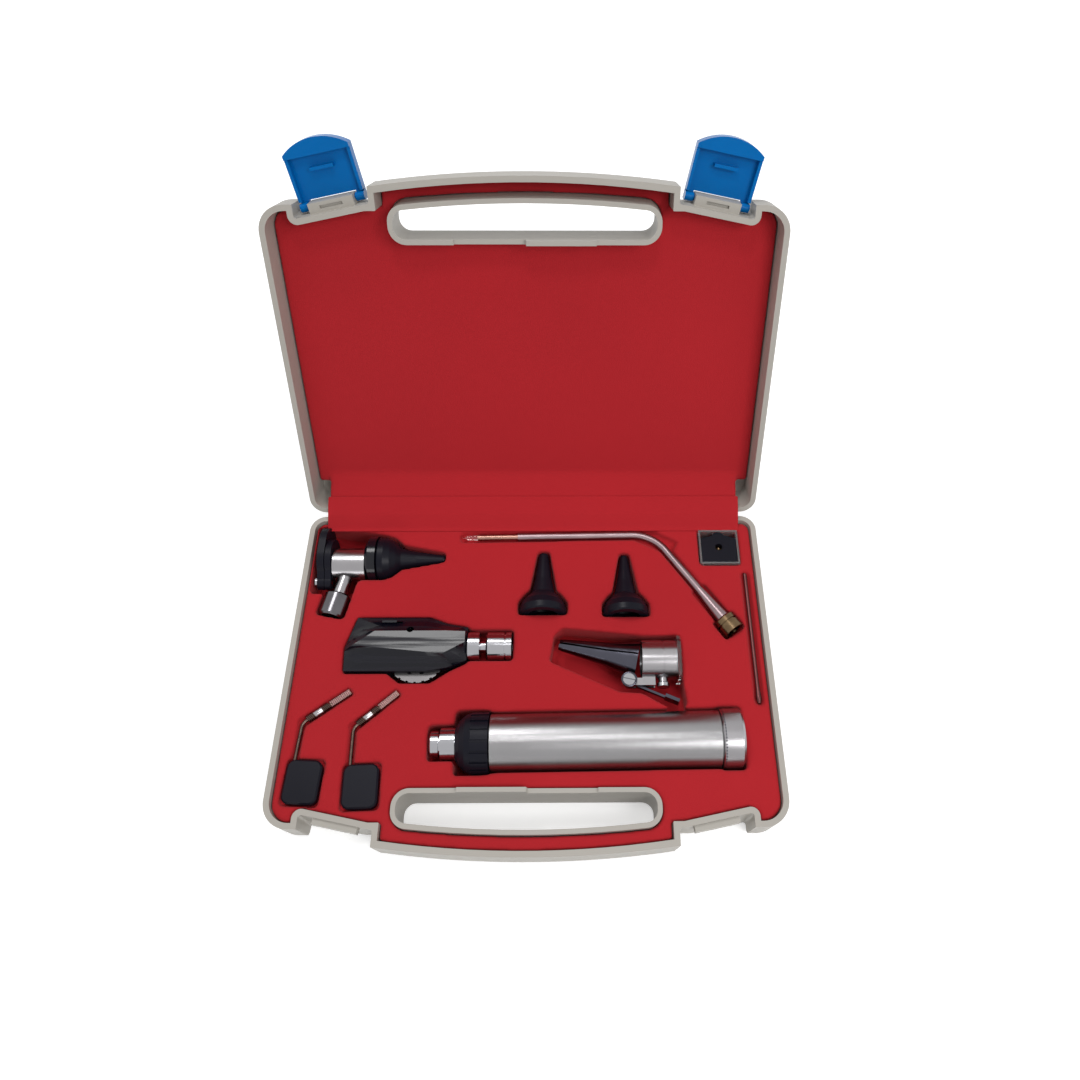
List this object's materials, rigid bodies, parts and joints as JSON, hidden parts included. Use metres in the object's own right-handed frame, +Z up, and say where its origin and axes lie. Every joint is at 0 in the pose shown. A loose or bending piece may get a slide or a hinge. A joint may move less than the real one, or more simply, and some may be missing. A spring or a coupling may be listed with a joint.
{
  "type": "otoscope set",
  "caption": "Otoscope set in its open hinged carrying case, with ophthalmoscope and nasal heads, battery handle, ear specula, bent-arm lamp and laryngeal mirrors in cut foam.",
  "frame": {"origin": "centre of the case's underside, halfway between its sides and between its hinge line and the front of its grip", "axes": "+X to the right and +Y towards the hinge, seen from in front of the open case; +Z up"},
  "size_m": [0.264, 0.3023, 0.2066],
  "materials": {
    "case_plastic": "fine-grained moulded",
    "latch_blue": "moulded, slightly translucent",
    "red_foam": "flocked foam",
    "pin_steel": "bright",
    "chrome": "polished",
    "handle_metal": "satin",
    "black_plastic": "satin moulded",
    "gloss_black": "polished moulded",
    "clear_glass": "polished",
    "mirror_glass": "polished",
    "brass": "bright",
    "cell_jacket": "satin",
    "clear_box": "clear moulded"
  },
  "bodies": {
    "base": {"base_shell": "case_plastic", "base_foam": "red_foam", "hinge_pins": "pin_steel"},
    "lid": {"lid_shell": "case_plastic", "lid_lining": "red_foam"},
    "left_catch": {"latch_left": "latch_blue"},
    "right_catch": {"latch_right": "latch_blue"},
    "otoscope": {"otoscope_back_plate": "black_plastic", "window_pivot_pin": "chrome", "otoscope_barrel": "chrome", "otoscope_socket": "chrome", "otoscope_bulb": "brass", "speculum_carrier": "chrome"},
    "window": {"window_frame": "black_plastic", "window_lens": "clear_glass"},
    "fitted_speculum": {"ear_speculum": "black_plastic"},
    "handle": {"handle_connector": "chrome", "contact_pin": "brass", "handle_tube": "handle_metal", "battery_cells": "cell_jacket", "battery_spring": "pin_steel"},
    "collar": {"switch_collar": "black_plastic"},
    "end_cap": {"handle_end_cap": "handle_metal"},
    "ophthalmoscope": {"ophthalmoscope_cover": "gloss_black", "ophthalmoscope_body": "gloss_black", "brow_rest": "black_plastic", "ophthalmoscope_neck": "chrome", "ophthalmoscope_socket": "chrome", "ophthalmoscope_bulb": "brass"},
    "dial": {"lens_dial": "black_plastic", "dial_lenses": "clear_glass"},
    "selector": {"aperture_selector": "black_plastic"},
    "nasal_head": {"nasal_barrel": "chrome", "nasal_lens": "clear_glass", "nasal_socket": "chrome", "nasal_fixed_blade": "chrome"},
    "nasal_blade": {"nasal_moving_blade": "chrome"},
    "nasal_screw": {"nasal_thumb_screw": "chrome"},
    "bent_arm": {"arm_tube": "chrome", "arm_sleeve": "brass", "arm_lamp": "clear_glass", "arm_plug": "brass"},
    "wide_speculum": {"spare_speculum_wide": "black_plastic"},
    "narrow_speculum": {"spare_speculum_narrow": "black_plastic"},
    "left_mirror": {"mirror_left_cup": "black_plastic", "mirror_left_glass": "mirror_glass", "mirror_left_stem": "chrome"},
    "right_mirror": {"mirror_right_cup": "black_plastic", "mirror_right_glass": "mirror_glass", "mirror_right_stem": "chrome"},
    "bulb_pack": {"bulb_box": "clear_box", "bulb_holder": "black_plastic", "spare_bulb": "brass"},
    "rod": {"probe_rod": "chrome"}
  },
  "joints": [
    {"name": "lid_hinge", "type": "hinge", "parent": "base", "child": "lid", "pos_m": [0, 0.096, 0.026], "axis": [-1, 0, 0], "range_deg": [-118, 0]},
    {"name": "left_catch_turn", "type": "hinge", "parent": "lid", "child": "left_catch", "pos_m": [-0.09538, 0.18753, 0.17898], "axis": [-0.9802, -0.093, -0.1749], "range_deg": [-90, 0]},
    {"name": "right_catch_turn", "type": "hinge", "parent": "lid", "child": "right_catch", "pos_m": [0.09538, 0.18753, 0.17898], "axis": [-0.9802, 0.093, 0.1749], "range_deg": [-90, 0]},
    {"name": "otoscope_lift", "type": "slide", "parent": "base", "child": "otoscope", "axis": [0, 0, 1], "range_m": [0, 0.06]},
    {"name": "handle_lift", "type": "slide", "parent": "base", "child": "handle", "axis": [0, 0, 1], "range_m": [0, 0.06]},
    {"name": "ophthalmoscope_lift", "type": "slide", "parent": "base", "child": "ophthalmoscope", "axis": [0, 0, 1], "range_m": [0, 0.06]},
    {"name": "nasal_head_lift", "type": "slide", "parent": "base", "child": "nasal_head", "axis": [0, 0, 1], "range_m": [0, 0.06]},
    {"name": "bent_arm_lift", "type": "slide", "parent": "base", "child": "bent_arm", "axis": [0, 0, 1], "range_m": [0, 0.06]},
    {"name": "wide_speculum_lift", "type": "slide", "parent": "base", "child": "wide_speculum", "axis": [0, 0, 1], "range_m": [0, 0.06]},
    {"name": "narrow_speculum_lift", "type": "slide", "parent": "base", "child": "narrow_speculum", "axis": [0, 0, 1], "range_m": [0, 0.06]},
    {"name": "left_mirror_lift", "type": "slide", "parent": "base", "child": "left_mirror", "axis": [0, 0, 1], "range_m": [0, 0.06]},
    {"name": "right_mirror_lift", "type": "slide", "parent": "base", "child": "right_mirror", "axis": [0, 0, 1], "range_m": [0, 0.06]},
    {"name": "bulb_pack_lift", "type": "slide", "parent": "base", "child": "bulb_pack", "axis": [0, 0, 1], "range_m": [0, 0.06]},
    {"name": "rod_lift", "type": "slide", "parent": "base", "child": "rod", "axis": [0, 0, 1], "range_m": [0, 0.06]},
    {"name": "window_swing", "type": "hinge", "parent": "otoscope", "child": "window", "pos_m": [-0.1236, 0.0541, 0.02], "axis": [1, 0, 0], "range_deg": [0, 90]},
    {"name": "speculum_twist", "type": "hinge", "parent": "otoscope", "child": "fitted_speculum", "pos_m": [-0.1236, 0.0687, 0.02], "axis": [1, 0, 0], "range_deg": [0, 45]},
    {"name": "collar_turn", "type": "hinge", "parent": "handle", "child": "collar", "pos_m": [-0.0519, -0.0396, 0.02], "axis": [0.9999, 0.014, 0], "range_deg": [0, 90]},
    {"name": "end_cap_turn", "type": "hinge", "parent": "handle", "child": "end_cap", "pos_m": [-0.0519, -0.0396, 0.02], "axis": [0.9999, 0.014, 0], "range_deg": [0, 90]},
    {"name": "dial_turn", "type": "hinge", "parent": "ophthalmoscope", "child": "dial", "pos_m": [-0.0626, 0.0104, 0.02], "axis": [0, 0, 1], "continuous": true},
    {"name": "selector_slide", "type": "slide", "parent": "ophthalmoscope", "child": "selector", "axis": [1, 0, 0], "range_m": [0, 0.003]},
    {"name": "nasal_screw_turn", "type": "hinge", "parent": "nasal_head", "child": "nasal_screw", "pos_m": [0.05363, -0.0064, 0.02], "axis": [0, 0, 1], "range_deg": [0, 180]},
    {"name": "nasal_blade_open", "type": "hinge", "parent": "nasal_head", "child": "nasal_blade", "pos_m": [0.05363, -0.0064, 0.02], "axis": [0, 0, 1], "range_deg": [0, 10]}
  ],
  "couplings": [
    {"joint": "nasal_blade_open", "follows": "nasal_screw_turn", "ratio": 0.05555}
  ]
}
